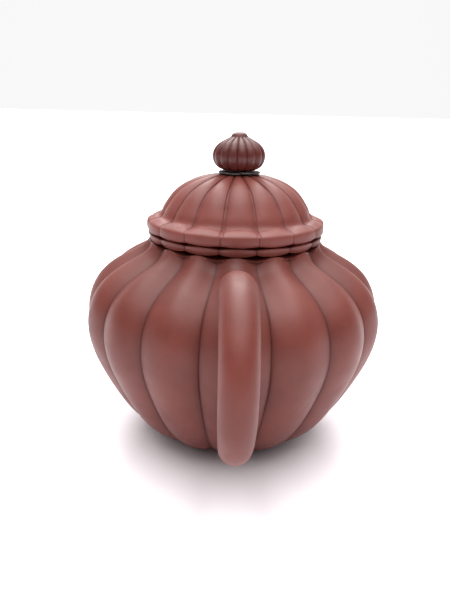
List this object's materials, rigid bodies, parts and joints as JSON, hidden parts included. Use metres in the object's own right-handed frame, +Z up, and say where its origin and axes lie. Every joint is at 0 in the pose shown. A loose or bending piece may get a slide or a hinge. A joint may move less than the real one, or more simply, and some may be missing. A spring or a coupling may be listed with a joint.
{
  "type": "yixing clay teapot",
  "caption": "Small unglazed red-brown clay teapot with a lobed, melon-ribbed belly, matching domed lid with ribbed knob, loop handle and curved spout.",
  "frame": {"origin": "on the pot's axis, on the table plane that the foot ring stands on; the handle and the spout reach equally far from it", "axes": "+Z up along the pot's axis, +X towards the spout, -X towards the handle, Y across"},
  "size_m": [0.1542, 0.1006, 0.1032],
  "materials": {
    "pot_clay": "unglazed fine clay, matte satin",
    "lid_clay": "unglazed fine clay, matte satin",
    "knob_clay": "unglazed clay polished by handling, satin",
    "dark_ring": "matte, near black grey-green"
  },
  "bodies": {
    "pot": {"lower_wall": "pot_clay", "upper_wall": "pot_clay", "base_disc": "pot_clay", "foot_ring": "pot_clay", "mouth_rim": "pot_clay", "handle": "pot_clay", "spout": "pot_clay", "spout_strainer": "pot_clay"},
    "lid": {"lid_dome": "lid_clay", "lid_flange": "lid_clay", "lid_tenon": "lid_clay", "knob_neck": "knob_clay", "knob": "knob_clay", "knob_bud": "knob_clay"},
    "knob_ring": {"knob_ring": "dark_ring"}
  },
  "joints": [
    {"name": "lid_lift", "type": "slide", "parent": "pot", "child": "lid", "axis": [0, 0, 1], "range_m": [0, 0.04]},
    {"name": "ring_turn", "type": "hinge", "parent": "lid", "child": "knob_ring", "pos_m": [0, -0.00085, 0.0907], "axis": [0, 0, 1], "continuous": true}
  ]
}
